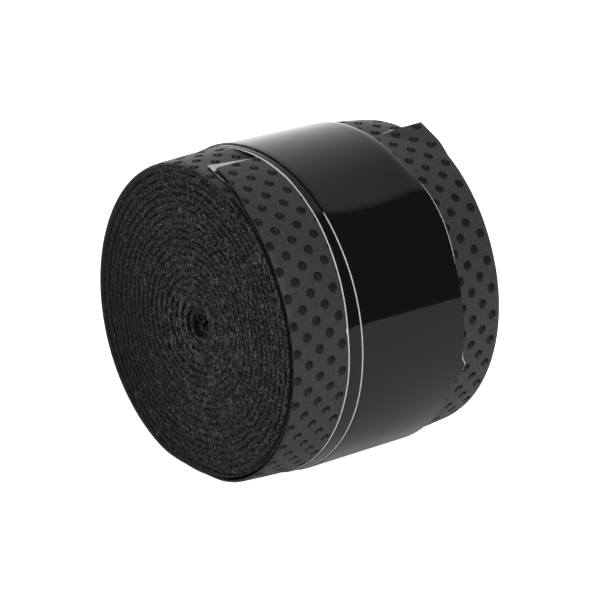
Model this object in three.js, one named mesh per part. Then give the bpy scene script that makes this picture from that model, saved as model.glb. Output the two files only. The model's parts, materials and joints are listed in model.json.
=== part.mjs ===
// Grip tape roll: a coreless roll of cushioned grip tape lying on its side, held shut by two turns of
// finishing tape. Millimetres, +Z up. The roll's axis lies along Y, and the end that winds clockwise
// faces -Y. The origin is where the band of finishing tape rests on the ground, below the roll's axis.
import * as THREE from 'three';

// Angles are in degrees round the roll's axis, seen from the -Y end: 0 points along +X, 90 straight up.
// A strip is described by how far it has been wound, in degrees, counted inwards from its outer end.
// Every turn is a ring of flat sides: a wide one below, which the soft roll's weight has pressed flat, and
// equal narrow ones round the rest of it.
const REST_FLAT = 27; // the angle that the wide side spans
const NARROW_SIDES = 36;
const SIDE_ANGLE = (360 - REST_FLAT) / NARROW_SIDES;
const FIRST_CORNER = -90 + REST_FLAT / 2; // corners are counted upwards from here
const CORNERS = NARROW_SIDES + 1;
const INNER_STEP = 2; // a small turn has only every second corner
const INNER_BELOW = 11; // turns smaller than this radius are small ones
const SAME_ANGLE = 0.01; // sections nearer each other than this are one

// Grip tape: a dimpled polyurethane skin bonded to a nonwoven felt backing.
const TAPE_WIDTH = 25;
const TAPE_NEAR = -12.55; // the -Y edge of every turn but the last
const TURNS = 20.65; // this many turns hold 1.1 m of tape
const SKIN = 0.26;
const FELT = 0.4;
const BOND_GAP = 0.02; // between two layers that are bonded
const TURN_GAP = 0.04; // between one turn and the next
const TAPE_PITCH = SKIN + BOND_GAP + FELT + TURN_GAP;
const TAPE_RADIUS = 16.25; // outside of the skin at the tape's outer end
const TAPE_END = 82.5; // where the outer end lies
const END_SHIFT = 0.65; // the outer end was wound this far towards +Y
const SHIFT_ANGLE = 90; // and the shift fades out over this much of the last turn
const SHIFT_POWER = 1.5; // the larger, the sooner it fades

// Starting patch: double-sided adhesive under the tape's outer end, with its release liner.
const ADHESIVE = 0.05;
const LINER = 0.05;
const PATCH_ANGLE = 32; // how far the patch reaches from the tape's end
const PATCH_RAMP = 10; // the felt springs back to full thickness over this angle
const PATCH_INSET = 0.35; // from the tape's edges
const LINER_PAST_END = 2.2; // the liner shows this many degrees past the tape's end
const PATCH_ROOM = ADHESIVE + LINER + 2 * BOND_GAP;

// Tab: the free corner of the outer end, beside the band, which has sprung up along a slanting crease.
const CREASE_FAR_ANGLE = FIRST_CORNER + 15 * SIDE_ANGLE; // where the crease leaves the tape's +Y edge
const CREASE_NEAR = 7.6; // where the crease meets the tape's outer end
const CREASE_GAP = 0.1; // between the crease and the tape that stays down
const TAB_GAP = 0.2; // between the crease and the tab
const TAB_RISE = 10; // how far the tab has sprung up, in degrees
const TAB_TIP = 0.3; // the tab's width where it ends at the tape's +Y edge

// Band: two turns of finishing tape, a glossy film on a pale backing.
const FILM = 0.08;
const BACKING = 0.05;
const BAND_LAYER_GAP = 0.01;
const BAND_TURN_GAP = 0.02;
const BAND_PITCH = FILM + BAND_LAYER_GAP + BACKING + BAND_TURN_GAP;
const BAND_RADIUS = 16.6;
const BAND_WIDTH = 12.4;
const BAND_NEAR = -4.9; // the -Y edge of the outer turn
const BAND_DRIFT = -1.25; // the inner turn lies this far along Y from the outer one
const DRIFT_FROM = 275; // the strip drifts sideways between these two wound angles
const DRIFT_TO = 445;
const BAND_END = 200; // where the strip's outer end lies
const BAND_TURNS = 2;
const BAND_END_GAP = 2; // the strip stops this many degrees short of its whole turns
const STEP_ANGLE = 45; // a turn steps down onto the one below over this angle

const AXIS_HEIGHT = BAND_RADIUS * Math.cos(THREE.MathUtils.degToRad(REST_FLAT / 2));

const skinMaterial = () => new THREE.MeshStandardMaterial({ color: 0x2b2c2e, roughness: 0.6 });
const feltMaterial = () => new THREE.MeshStandardMaterial({ color: 0x1b1b1d, roughness: 1 });
const adhesiveMaterial = () => new THREE.MeshStandardMaterial({ color: 0xc9c8c0, roughness: 0.4 });
const linerMaterial = () => new THREE.MeshStandardMaterial({ color: 0xe6e6e4, roughness: 0.5 });
const filmMaterial = () => new THREE.MeshStandardMaterial({ color: 0x0b0b0d, roughness: 0.08 });

// The radius at an angle of a ring of flat sides whose corners have the given radius.
function onFlatSide(angle, radius, step = 1) {
  const fromFirst = THREE.MathUtils.euclideanModulo(angle - FIRST_CORNER, 360);
  const isBelow = fromFirst > 360 - REST_FLAT;
  const side = isBelow ? REST_FLAT : SIDE_ANGLE * step;
  const fromCorner = isBelow ? fromFirst - (360 - REST_FLAT) : fromFirst % side;
  const half = THREE.MathUtils.degToRad(side / 2);
  return (radius * Math.cos(half)) / Math.cos(THREE.MathUtils.degToRad(fromCorner) - half);
}

// A closed solid through a row of four-cornered sections: [inner, outer] at the near edge, then at the far.
function stripThrough(sections) {
  const vertices = sections.flat(2);
  const corners = 4;
  const triangles = [];
  const last = (sections.length - 1) * corners;
  for (let at = 0; at < last; at += corners) {
    for (let side = 0; side < corners; side += 1) {
      const a = at + side;
      const b = at + ((side + 1) % corners);
      triangles.push(a, b + corners, b, a, a + corners, b + corners);
    }
  }
  triangles.push(0, 1, 2, 0, 2, 3);
  triangles.push(last, last + 2, last + 1, last, last + 3, last + 2);
  const geometry = new THREE.BufferGeometry();
  geometry.setAttribute('position', new THREE.Float32BufferAttribute(vertices, 3));
  geometry.setIndex(triangles);
  geometry.computeVertexNormals();
  return geometry;
}

// The four corners of a wound strip's section.
function woundSection(angle, inner, outer, near, far) {
  const turn = THREE.MathUtils.degToRad(angle);
  const point = (radius, y) => [radius * Math.cos(turn), y, AXIS_HEIGHT + radius * Math.sin(turn)];
  return [point(inner, near), point(outer, near), point(outer, far), point(inner, far)];
}

// The wound angles of a strip's sections: its two ends, and every corner of its flat sides between them.
function sectionAngles(end, from, to, step = () => 1) {
  const angles = [from];
  for (let corner = CORNERS, wound = from; wound < to - SAME_ANGLE; corner -= 1) {
    const turn = Math.floor(corner / CORNERS);
    const inTurn = corner - turn * CORNERS;
    wound = end - (FIRST_CORNER + 360 * turn + SIDE_ANGLE * inTurn);
    const isBetween = wound > from + SAME_ANGLE && wound < to - SAME_ANGLE;
    if (isBetween && inTurn % step(wound) === 0) {
      angles.push(wound);
    }
  }
  angles.push(to);
  return angles;
}

const tapeRadius = (wound) => TAPE_RADIUS - (TAPE_PITCH * wound) / 360;
const tapeStep = (wound) => (tapeRadius(wound) < INNER_BELOW ? INNER_STEP : 1);
const beforeShift = (wound) => THREE.MathUtils.clamp(1 - wound / SHIFT_ANGLE, 0, 1);
const tapeShift = (wound) => END_SHIFT * beforeShift(wound) ** SHIFT_POWER;
const tapeNear = (wound) => TAPE_NEAR + tapeShift(wound);
const tapeFar = (wound) => tapeNear(wound) + TAPE_WIDTH;

// How much thinner the felt is pressed at a wound angle, where the starting patch lies under it.
function pressed(wound) {
  const beforeRampEnds = (PATCH_ANGLE + PATCH_RAMP - wound) / PATCH_RAMP;
  return PATCH_ROOM * THREE.MathUtils.clamp(beforeRampEnds, 0, 1);
}

// Each layer's [depth of its outside, depth of its inside] below the tape's outer face.
const feltBottom = (wound) => SKIN + BOND_GAP + FELT - pressed(wound);
const adhesiveTop = SKIN + BOND_GAP + FELT - PATCH_ROOM + BOND_GAP;
const linerTop = adhesiveTop + ADHESIVE + BOND_GAP;
const layers = {
  skin: () => [0, SKIN],
  felt: (wound) => [SKIN + BOND_GAP, feltBottom(wound)],
  adhesive: () => [adhesiveTop, adhesiveTop + ADHESIVE],
  liner: () => [linerTop, linerTop + LINER],
};

// The crease starts at the tape's outer end, and reaches the tape's +Y edge at this wound angle.
const creaseEnd = TAPE_END - CREASE_FAR_ANGLE;
const creaseSlope = (tapeFar(creaseEnd) - CREASE_NEAR) / creaseEnd;
const crease = (wound) => CREASE_NEAR + creaseSlope * wound;

// One layer of the wound tape, from one wound angle to another, with the tab's corner left out of it.
function tapeLayer(layer, from, to, inset = 0) {
  const sections = sectionAngles(TAPE_END, from, to, tapeStep).map((wound) => {
    const angle = TAPE_END - wound;
    const [top, bottom] = layers[layer](wound);
    const radius = onFlatSide(angle, tapeRadius(wound), tapeStep(wound));
    const far = Math.min(tapeFar(wound) - inset, crease(wound) - CREASE_GAP);
    return woundSection(angle, radius - bottom, radius - top, tapeNear(wound) + inset, far);
  });
  return stripThrough(sections);
}

// The tab's flat plate lies on a plane through the middle of the crease. A point on it is given by how far
// along the tape it is, towards the outer end, and by its y, both as if the tape weren't wound.
const middle = creaseEnd / 2;
const middleRadius = tapeRadius(middle);
const middleTurn = THREE.MathUtils.degToRad(TAPE_END - middle);
const outwards = new THREE.Vector3(Math.cos(middleTurn), 0, Math.sin(middleTurn));
const towardsEnd = new THREE.Vector3(-Math.sin(middleTurn), 0, Math.cos(middleTurn));
const alongAxis = new THREE.Vector3(0, 1, 0);
const alongTape = (wound) => middleRadius * THREE.MathUtils.degToRad(middle - wound);

// The hinge: a point on the crease, and the direction that the tab turns about as it lifts.
const hinge = new THREE.Vector3(0, crease(middle), AXIS_HEIGHT).addScaledVector(outwards, middleRadius);
const creaseRun = new THREE.Vector2(alongTape(creaseEnd) - alongTape(0), crease(creaseEnd) - crease(0));
const acrossCrease = new THREE.Vector2(creaseRun.y, -creaseRun.x).normalize();
const awayFromCrease = new THREE.Vector3()
  .addScaledVector(towardsEnd, acrossCrease.x)
  .addScaledVector(alongAxis, acrossCrease.y);
const hingeAxis = new THREE.Vector3().crossVectors(awayFromCrease, outwards);

function onTab(along, y, depth) {
  const rise = THREE.MathUtils.degToRad(TAB_RISE);
  return new THREE.Vector3()
    .addScaledVector(towardsEnd, along)
    .addScaledVector(alongAxis, y - hinge.y)
    .addScaledVector(outwards, -depth)
    .applyAxisAngle(hingeAxis, rise)
    .add(hinge)
    .toArray();
}

// One layer of the tab: a four-cornered plate, nearly a triangle.
function tabLayer(layer, past = 0, inset = 0) {
  const [top, bottom] = layers[layer](0);
  const slope = creaseRun.y / creaseRun.x;
  const near = (along) => crease(middle) + slope * along + TAB_GAP / acrossCrease.y;
  const far = tapeFar(0) - inset;
  const tip = (far - TAB_TIP - near(0)) / slope;
  const section = (along) => [
    onTab(along, near(along), bottom),
    onTab(along, near(along), top),
    onTab(along, far, top),
    onTab(along, far, bottom),
  ];
  return stripThrough([section(alongTape(-past)), section(tip)]);
}

const drifted = (wound) => THREE.MathUtils.smoothstep(wound, DRIFT_FROM, DRIFT_TO);
const bandNear = (wound) => BAND_NEAR + BAND_DRIFT * drifted(wound);

// The outside of the band's strip: each turn is round, and steps down at its end onto the one below.
function bandRadius(wound) {
  const turn = Math.floor(wound / 360);
  const step = (wound - turn * 360 - (360 - STEP_ANGLE)) / STEP_ANGLE;
  return BAND_RADIUS - BAND_PITCH * (turn + THREE.MathUtils.clamp(step, 0, 1));
}

// One layer of the band's strip, between two depths below the strip's outer face.
function bandLayer(top, bottom) {
  const angles = sectionAngles(BAND_END, 0, BAND_TURNS * 360 - BAND_END_GAP);
  const sections = angles.map((wound) => {
    const angle = BAND_END - wound;
    const radius = onFlatSide(angle, bandRadius(wound));
    const near = bandNear(wound);
    return woundSection(angle, radius - bottom, radius - top, near, near + BAND_WIDTH);
  });
  return stripThrough(sections);
}

const roll = new THREE.Group();

function add(name, geometry, material) {
  const mesh = new THREE.Mesh(geometry, material);
  mesh.name = name;
  roll.add(mesh);
}

add('tape_skin', tapeLayer('skin', 0, TURNS * 360), skinMaterial());
add('tape_felt', tapeLayer('felt', 0, TURNS * 360), feltMaterial());
add('start_adhesive', tapeLayer('adhesive', 0, PATCH_ANGLE, PATCH_INSET), adhesiveMaterial());
add('start_liner', tapeLayer('liner', -LINER_PAST_END, PATCH_ANGLE, PATCH_INSET), linerMaterial());
add('tab_skin', tabLayer('skin'), skinMaterial());
add('tab_felt', tabLayer('felt'), feltMaterial());
add('tab_adhesive', tabLayer('adhesive', 0, PATCH_INSET), adhesiveMaterial());
add('tab_liner', tabLayer('liner', LINER_PAST_END, PATCH_INSET), linerMaterial());
add('band_film', bandLayer(0, FILM), filmMaterial());
add('band_backing', bandLayer(FILM + BAND_LAYER_GAP, BAND_PITCH - BAND_TURN_GAP), linerMaterial());

export default roll;
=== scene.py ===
"""The looks of the grip tape roll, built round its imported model.

Lengths are in millimetres until a mesh is made, and named angles in degrees. The roll's axis lies along Y.
An angle round it is seen from the -Y end: 0 points along +X and 90 straight up. A place on a strip is given
by how far it has been wound, in degrees, counted inwards from the strip's outer end, by its y, and by its
depth below the strip's outer face.
"""
import json
import math
from itertools import product

import bmesh
import bpy
import numpy as np
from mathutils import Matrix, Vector


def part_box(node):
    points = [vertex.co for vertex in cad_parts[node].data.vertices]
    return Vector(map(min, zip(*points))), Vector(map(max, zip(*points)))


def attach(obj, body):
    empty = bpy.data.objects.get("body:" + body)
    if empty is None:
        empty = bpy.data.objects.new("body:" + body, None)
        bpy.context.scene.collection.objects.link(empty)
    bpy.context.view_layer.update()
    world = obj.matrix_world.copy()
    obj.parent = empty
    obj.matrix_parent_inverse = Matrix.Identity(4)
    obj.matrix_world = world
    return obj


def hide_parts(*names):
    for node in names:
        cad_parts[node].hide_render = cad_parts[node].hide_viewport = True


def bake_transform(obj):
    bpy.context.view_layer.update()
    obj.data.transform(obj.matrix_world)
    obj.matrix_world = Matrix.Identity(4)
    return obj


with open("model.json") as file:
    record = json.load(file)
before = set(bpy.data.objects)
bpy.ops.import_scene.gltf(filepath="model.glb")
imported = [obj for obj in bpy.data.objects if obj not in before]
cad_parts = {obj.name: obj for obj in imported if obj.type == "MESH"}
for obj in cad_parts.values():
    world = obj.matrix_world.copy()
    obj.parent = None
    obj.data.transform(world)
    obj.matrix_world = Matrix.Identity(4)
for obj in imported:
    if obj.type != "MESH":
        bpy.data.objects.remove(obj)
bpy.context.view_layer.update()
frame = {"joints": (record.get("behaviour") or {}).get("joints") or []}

MM = 0.001

# The tape, as in the model.
TAPE_WIDTH = 25
TAPE_NEAR = -12.55
TAPE_FAR = TAPE_NEAR + TAPE_WIDTH
TAPE_RADIUS = 16.25
TAPE_PITCH = 0.72
TAPE_TURNS = 20.65
TAPE_END = 82.5  # the angle at which the tape's outer end lies
END_SHIFT = 0.65  # that end is wound this far towards +Y of the rest, and comes into line over SHIFT_ANGLE
SHIFT_ANGLE = 60
SHIFT_POWER = 1.5
SKIN = 0.26  # the depth of the skin's underside
FELT_TOP = 0.28
FELT_BOTTOM = 0.68
REST_FLAT = 27  # the roll rests on a flat this wide, in degrees

# The band, as in the model.
BAND_RADIUS = 16.6
BAND_WIDTH = 12.4
BAND_NEAR = -4.9  # the near edge of its outer turn
BAND_DRIFT = -1.25  # its inner turn lies this far to the side
BAND_END = 200  # the angle at which its outer end lies
BAND_TURNS = 2
BAND_END_GAP = 2
BAND_PITCH = 0.16
BAND_STEP_ANGLE = 45
FILM = 0.08
BACKING_TOP = 0.09
BACKING_BOTTOM = 0.14

AXIS_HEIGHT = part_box("band_film")[1].z / MM - BAND_RADIUS

hinge = next(joint for joint in frame["joints"] if joint["name"] == "tab_lift")
CREASE = np.array(hinge["pos_m"]) / MM
CREASE_AXIS = np.array(hinge["axis"])


def smoothstep(value, start, end):
    """0 before start, 1 after end, and a smooth rise between them."""
    share = np.clip((value - start) / (end - start), 0, 1)
    return share * share * (3 - 2 * share)


NOISE_TABLE = np.random.default_rng(4).uniform(-1, 1, 4096)
HASH_FACTORS = (73856093, 19349663, 83492791)  # large primes, to scatter neighbouring cells
SEED_FACTOR = 2654435761


def noise(points, size, seed=0):
    """Random values from -1 to 1 that vary smoothly over a length of about size."""
    cell = np.asarray(points, float) / size
    low = np.floor(cell).astype(np.int64)
    share = cell - low
    share = share * share * (3 - 2 * share)
    total = np.zeros(cell.shape[:-1])
    for corner in product((0, 1), repeat=3):
        at = low + corner
        scattered = at * HASH_FACTORS
        key = scattered[..., 0] ^ scattered[..., 1] ^ scattered[..., 2] ^ seed * SEED_FACTOR
        weight = np.prod(np.where(corner, share, 1 - share), axis=-1)
        total += weight * NOISE_TABLE[key % len(NOISE_TABLE)]
    return total


# ---- the tape's shape

HELD_NEAR, HELD_FAR = -6.4, 7.9  # the tape is round where the band holds it, and out of round beside that
HELD_RADIUS = 16.27  # the tape's face under the band
HELD_WOUND = (344, 362)  # only the outer turn is held
HELD_POWER = 1.3  # how it goes over from held to out of round
HELD_SAG = 0.08  # the band has sagged this much over the tape's end
WHOLE_SAG_STARTS, WHOLE_SAG_ENDS = (44, 62), (130, 180)
MIDDLE_SAG = 0.11  # and this much more along its middle
MIDDLE_SAG_STARTS, MIDDLE_SAG_ENDS = (38, 56), (62, 112)
MIDDLE_SAG_Y, MIDDLE_SAG_HALF = 0.5, 5.5
FLAT_SOFTNESS = 0.02  # how softly the flat below goes over into the round
SETTLES = 1.5  # turns further in are rounder and less flattened, by this power of their radius
END_SINK = 0.32  # the outer end is pressed in this far at its edges
END_SINK_ANGLE = 80
END_SQUEEZE = 0.5  # and the tape is this much thinner there
CORE_RADIUS = 3.3  # the innermost turns have come loose from the rest
CORE_SOFTNESS = 0.3
CORE_GAP = 0.16
CORE_HOLE = 1.2
CORE_OFFSET = (0.75, 0.2)  # the hole is off the axis, as are the turns round it, out to CORE_SPREAD
CORE_SPREAD = 8
CORE_SINK = 0.9  # the last turns are sunk in this far
CORE_SUNK_RADII = (1.1, 2.6)
WOBBLES = ((0.10, 4.0, 1), (0.05, 1.4, 2))  # the inner turns' unevenness: (height, size, seed)
WOBBLE_WOUND = (300, 900)
WOBBLE_PLANE = 9  # each end of the roll has its own


def end_share(wound):
    """1 at the tape's outer end, falling to 0."""
    return np.clip(1 - wound / END_SINK_ANGLE, 0, 1) ** 2


def end_shift(wound):
    """How far the tape lies towards +Y."""
    return END_SHIFT * np.clip(1 - np.maximum(wound, 0) / SHIFT_ANGLE, 0, 1) ** SHIFT_POWER


def out_of_round(angle, y):
    """How far the edges of the outer turns stand out from a true spiral."""
    near = 0.12 - 0.37 * np.cos(angle) - 0.16 * np.sin(3 * angle)
    far = 0.28 * np.cos(angle - np.radians(35))
    return np.where(y < 0, near, far)


def held_sag(angle, y):
    """How far the band, and the tape under it, lie below their round shape."""
    degrees = np.degrees(angle) % 360
    whole = smoothstep(degrees, *WHOLE_SAG_STARTS) * (1 - smoothstep(degrees, *WHOLE_SAG_ENDS))
    middle = smoothstep(degrees, *MIDDLE_SAG_STARTS) * (1 - smoothstep(degrees, *MIDDLE_SAG_ENDS))
    across = np.clip(1 - ((y - MIDDLE_SAG_Y) / MIDDLE_SAG_HALF) ** 2, 0, 1)
    return HELD_SAG * whole + MIDDLE_SAG * middle * across


def pressed_flat(angle, share):
    """The factor by which a radius is shortened over the flat that the roll rests on."""
    half = np.radians(REST_FLAT / 2)
    from_below = (angle + np.pi / 2 + np.pi) % (2 * np.pi) - np.pi
    chord = np.cos(half) / np.cos(np.clip(from_below, -1, 1))
    lower = -FLAT_SOFTNESS * np.log(np.exp(-chord / FLAT_SOFTNESS) + np.exp(-1 / FLAT_SOFTNESS))
    lower = np.maximum(lower, np.cos(half))
    return 1 - (1 - lower) * share


def tape_place(wound, y, depth):
    """The places of points of the wound tape."""
    wound, y, depth = np.broadcast_arrays(np.asarray(wound, float), y, depth)
    angle = np.radians(TAPE_END - wound)
    spiral = TAPE_RADIUS - TAPE_PITCH * wound / 360
    share = np.clip(spiral / TAPE_RADIUS, 0, 1) ** SETTLES
    rim = spiral + out_of_round(angle, y) * share - END_SINK * end_share(wound)
    held = spiral + (HELD_RADIUS - held_sag(angle, y) - spiral) * (1 - smoothstep(wound, *HELD_WOUND))
    from_near = (HELD_NEAR - y) / (HELD_NEAR - TAPE_NEAR)
    from_far = (y - HELD_FAR) / (TAPE_FAR - HELD_FAR)
    face = held + (rim - held) * np.clip(np.maximum(from_near, from_far), 0, 1) ** HELD_POWER
    radius = face - depth * (1 - END_SQUEEZE * end_share(wound))
    radius = radius * pressed_flat(angle, share)
    loose = 1 - smoothstep(spiral, CORE_RADIUS - CORE_SOFTNESS, CORE_RADIUS + CORE_SOFTNESS)
    radius = radius - CORE_GAP * loose * np.clip((spiral - CORE_HOLE) / (CORE_RADIUS - CORE_HOLE), 0, 1)
    off_centre = 1 - smoothstep(spiral, 1, CORE_SPREAD)
    x = radius * np.cos(angle) + CORE_OFFSET[0] * off_centre
    z = radius * np.sin(angle) + CORE_OFFSET[1] * off_centre
    sunk = y - np.sign(y) * CORE_SINK * (1 - smoothstep(spiral, *CORE_SUNK_RADII))
    place = np.stack([x, sunk + end_shift(wound), z], -1)
    inner = smoothstep(wound, *WOBBLE_WOUND)
    plane = np.stack([x, np.sign(y) * WOBBLE_PLANE, z], -1)
    wobble = sum(height * noise(plane, size, seed) for height, size, seed in WOBBLES) * inner
    place[..., 0] += wobble * np.cos(angle)
    place[..., 2] += wobble * np.sin(angle) + AXIS_HEIGHT
    return place


# The tape's free corner leaves the roll at the crease and goes on as a flat sheet.
TAB_RISE = math.radians(10)
CREASE_WOUND = TAPE_END - math.degrees(math.atan2(CREASE[2] - AXIS_HEIGHT, CREASE[0]))
CREASE_OUT = np.array([CREASE[0], 0, CREASE[2] - AXIS_HEIGHT])
CREASE_RADIUS = np.linalg.norm(CREASE_OUT)
CREASE_OUT = CREASE_OUT / CREASE_RADIUS
TOWARDS_END = np.array([-CREASE_OUT[2], 0, CREASE_OUT[0]])
FROM_CREASE = np.cross(CREASE_OUT, CREASE_AXIS)
TAB_SOFT_FROM, TAB_SOFT_TO = -0.3, 1.5  # the bend at the crease is spread over this stretch


def turned(vector, angle):
    """A vector at right angles to the crease's axis, turned about it."""
    return vector * math.cos(angle) + np.cross(CREASE_AXIS, vector) * math.sin(angle)


def tab_place(wound, y, depth):
    """The places of points of the free corner, which is bonded to the wound tape along the crease."""
    wound, y, depth = np.broadcast_arrays(np.asarray(wound, float), y, depth)
    along = np.radians(CREASE_WOUND - wound) * CREASE_RADIUS
    flat = along[..., None] * TOWARDS_END
    flat[..., 1] += y + END_SHIFT - CREASE[1]
    beyond = flat @ FROM_CREASE
    beside = flat @ CREASE_AXIS
    thin = depth * (1 - END_SQUEEZE * end_share(wound))
    sheet = (
        CREASE
        + beside[..., None] * CREASE_AXIS
        + beyond[..., None] * turned(FROM_CREASE, TAB_RISE)
        - thin[..., None] * turned(CREASE_OUT, TAB_RISE)
    )
    share = smoothstep(beyond, TAB_SOFT_FROM, TAB_SOFT_TO)[..., None]
    return tape_place(wound, y, depth) * (1 - share) + sheet * share


# ---- meshes


def add_piece(name, points, faces, material, slot, body, smooth=60):
    """A mesh piece through points in mm, riding on a body if given one. Its slot is not used."""
    mesh = bpy.data.meshes.new(name)
    mesh.from_pydata(np.asarray(points) * MM, [], faces)
    edit = bmesh.new()
    edit.from_mesh(mesh)
    bmesh.ops.recalc_face_normals(edit, faces=edit.faces)
    edit.to_mesh(mesh)
    edit.free()
    mesh.shade_smooth()
    mesh.set_sharp_from_angle(angle=math.radians(smooth))
    mesh.materials.append(material)
    piece = bpy.data.objects.new(name, mesh)
    bpy.context.scene.collection.objects.link(piece)
    if body:
        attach(piece, body)
    return piece


def ring_faces(index):
    """The faces between each ring of points and the next, from the points' numbers."""
    start, end = index[..., :-1, :], index[..., 1:, :]
    return np.stack([start, np.roll(start, -1, -1), np.roll(end, -1, -1), end], -1).reshape(-1, 4).tolist()


def loft(rows):
    """The points and faces of a solid through rows of points; each row is a closed outline."""
    index = np.arange(rows[..., 0].size).reshape(rows.shape[:2])
    return rows.reshape(-1, 3), ring_faces(index) + [index[0].tolist(), index[-1].tolist()]


LEAST_RADIUS = 0.8  # steps along the strip aren't made wider in angle than at this radius


def wound_steps(start, end, length):
    """Wound angles from start to end of the tape, about length apart along the strip."""
    steps = [start]
    while steps[-1] < end:
        radius = max(TAPE_RADIUS - TAPE_PITCH * steps[-1] / 360, LEAST_RADIUS)
        steps.append(steps[-1] + math.degrees(length / radius))
    steps[-1] = end
    return np.array(steps)


# ---- dimpled skin

ROW_ANGLE = 4.75  # between one row of dimples and the next
FIRST_ROW = 5.6
DIMPLE_SPACING = 1.25  # across the tape, to the next row's dimple
FIRST_DIMPLE = -8.5
DIMPLE_RINGS = ((0.49, 0), (0.465, 0.05), (0.44, 0.17), (0.4, 0.24), (0.22, 0.25))  # (radius, depth)
# The skin's painted shade, in its dimples and along its cut edge.
DIMPLE_AND_EDGE_SHADE = "dimple"
WALL_OUTSIDE, WALL_INSIDE = 0.49, 0.44  # a dimple's wall is painted dark between these radii, as shade
FLOOR_OUTSIDE, FLOOR_INSIDE, FLOOR_LIGHTER = 0.4, 0.15, 0.55  # and its floor takes less of that painted shade between these
LOWER_FROM, LOWER_TO, LOWER_LIGHTER = 0, 0.35, 0.6  # and so does its side away from the tape's end, painted lighter where light falls in
CELL_COLUMNS = range(-3, 18)  # the cells that cover the flat skin's width, before it is cut
SPARE_ROWS = 2  # and rows of them past each of its ends
CELL_STEPS = 4  # edges along each side of a cell
SKIN_LAP = 375  # the outer skin goes on this far, under its own end
ARC_RADIUS = 16.1  # lengths along the outer turn are reckoned at this radius
SLANT_FADES = 20
ROW_LENGTH = math.radians(ROW_ANGLE) * ARC_RADIUS
SKIN_LENGTH = math.radians(SKIN_LAP) * ARC_RADIUS
TAB_CUT_Y = 7.3  # the free corner's mesh starts here, under the band's edge
TAB_CUT_WOUND = 24  # and ends here
TAB_LENGTH = math.radians(TAB_CUT_WOUND) * ARC_RADIUS
CORNER_ROUND = 0.2
EDGE_ROLL = 0.3  # the skin rolls over towards its edges
EDGE_DROP = 0.07


def cell_edge():
    """The outline of a cell one unit wide, as points in order round it."""
    ticks = np.linspace(-0.5, 0.5, CELL_STEPS + 1)[:-1]
    low = np.full_like(ticks, -0.5)
    sides = [np.stack([ticks, low], -1)]
    for _ in range(3):
        x, y = sides[-1].T
        sides.append(np.stack([-y, x], -1))
    return np.concatenate(sides)


def dimple_cell():
    """The points (along, across, depth) and faces of a cell with a dimple in it."""
    edge = cell_edge() * (ROW_LENGTH, DIMPLE_SPACING)
    count = len(edge)
    turn = np.arctan2(edge[:, 1], edge[:, 0])
    rings = [np.column_stack([edge, np.zeros(count)])]
    for radius, depth in DIMPLE_RINGS:
        rings.append(np.column_stack([radius * np.cos(turn), radius * np.sin(turn), np.full(count, depth)]))
    index = np.arange(len(rings) * count).reshape(-1, count)
    centre = index.size
    fan = [[int(a), int(b), centre] for a, b in zip(index[-1], np.roll(index[-1], -1))]
    bottom = DIMPLE_RINGS[-1][1]
    return np.concatenate([*rings, [[0, 0, bottom]]]), ring_faces(index) + fan


def plain_cell():
    """The points and faces of a cell without a dimple."""
    ticks = np.linspace(-0.5, 0.5, CELL_STEPS + 1)
    along, across = np.meshgrid(ticks * ROW_LENGTH, ticks * DIMPLE_SPACING, indexing="ij")
    points = np.stack([along, across, np.zeros_like(along)], -1).reshape(-1, 3)
    index = np.arange(len(points)).reshape(CELL_STEPS + 1, -1)
    quads = np.stack([index[:-1, :-1], index[1:, :-1], index[1:, 1:], index[:-1, 1:]], -1)
    return points, quads.reshape(-1, 4).tolist()


def cut(edit, point, outwards, remove=True):
    """Cuts a flat mesh along a line, and removes what lies on the outward side of it."""
    geometry = [*edit.verts, *edit.edges, *edit.faces]
    bmesh.ops.bisect_plane(
        edit, geom=geometry, dist=1e-5, plane_co=Vector((*point, 0)), plane_no=Vector((*outwards, 0)),
        clear_outer=remove,
    )


# The tape's outer end is cut along two lines that meet here. Each is given by its slope.
END_MEETS = (-0.42, -6.6)
END_SLOPE_NEAR, END_SLOPE_FAR = -0.048, 0.08
TRIM = 0.7  # the near corner is trimmed off along a line that starts this far in
TRIM_LENGTH = 6.5


def end_along(y):
    """How far along the tape its outer end lies."""
    from_meeting = y - END_MEETS[1]
    return END_MEETS[0] + np.where(from_meeting < 0, END_SLOPE_NEAR, END_SLOPE_FAR) * from_meeting


def near_trim(wound):
    """How far in the tape's trimmed near edge lies."""
    return TRIM * np.clip(1 - np.radians(wound) * ARC_RADIUS / TRIM_LENGTH, 0, 1)


def slanted(wound, y):
    """Wound angles moved so that a strip's outer end follows the tape's slanting one."""
    slant = np.degrees(end_along(y) / ARC_RADIUS)
    return wound + slant * np.clip(1 - wound / SLANT_FADES, 0, 1)


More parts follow.
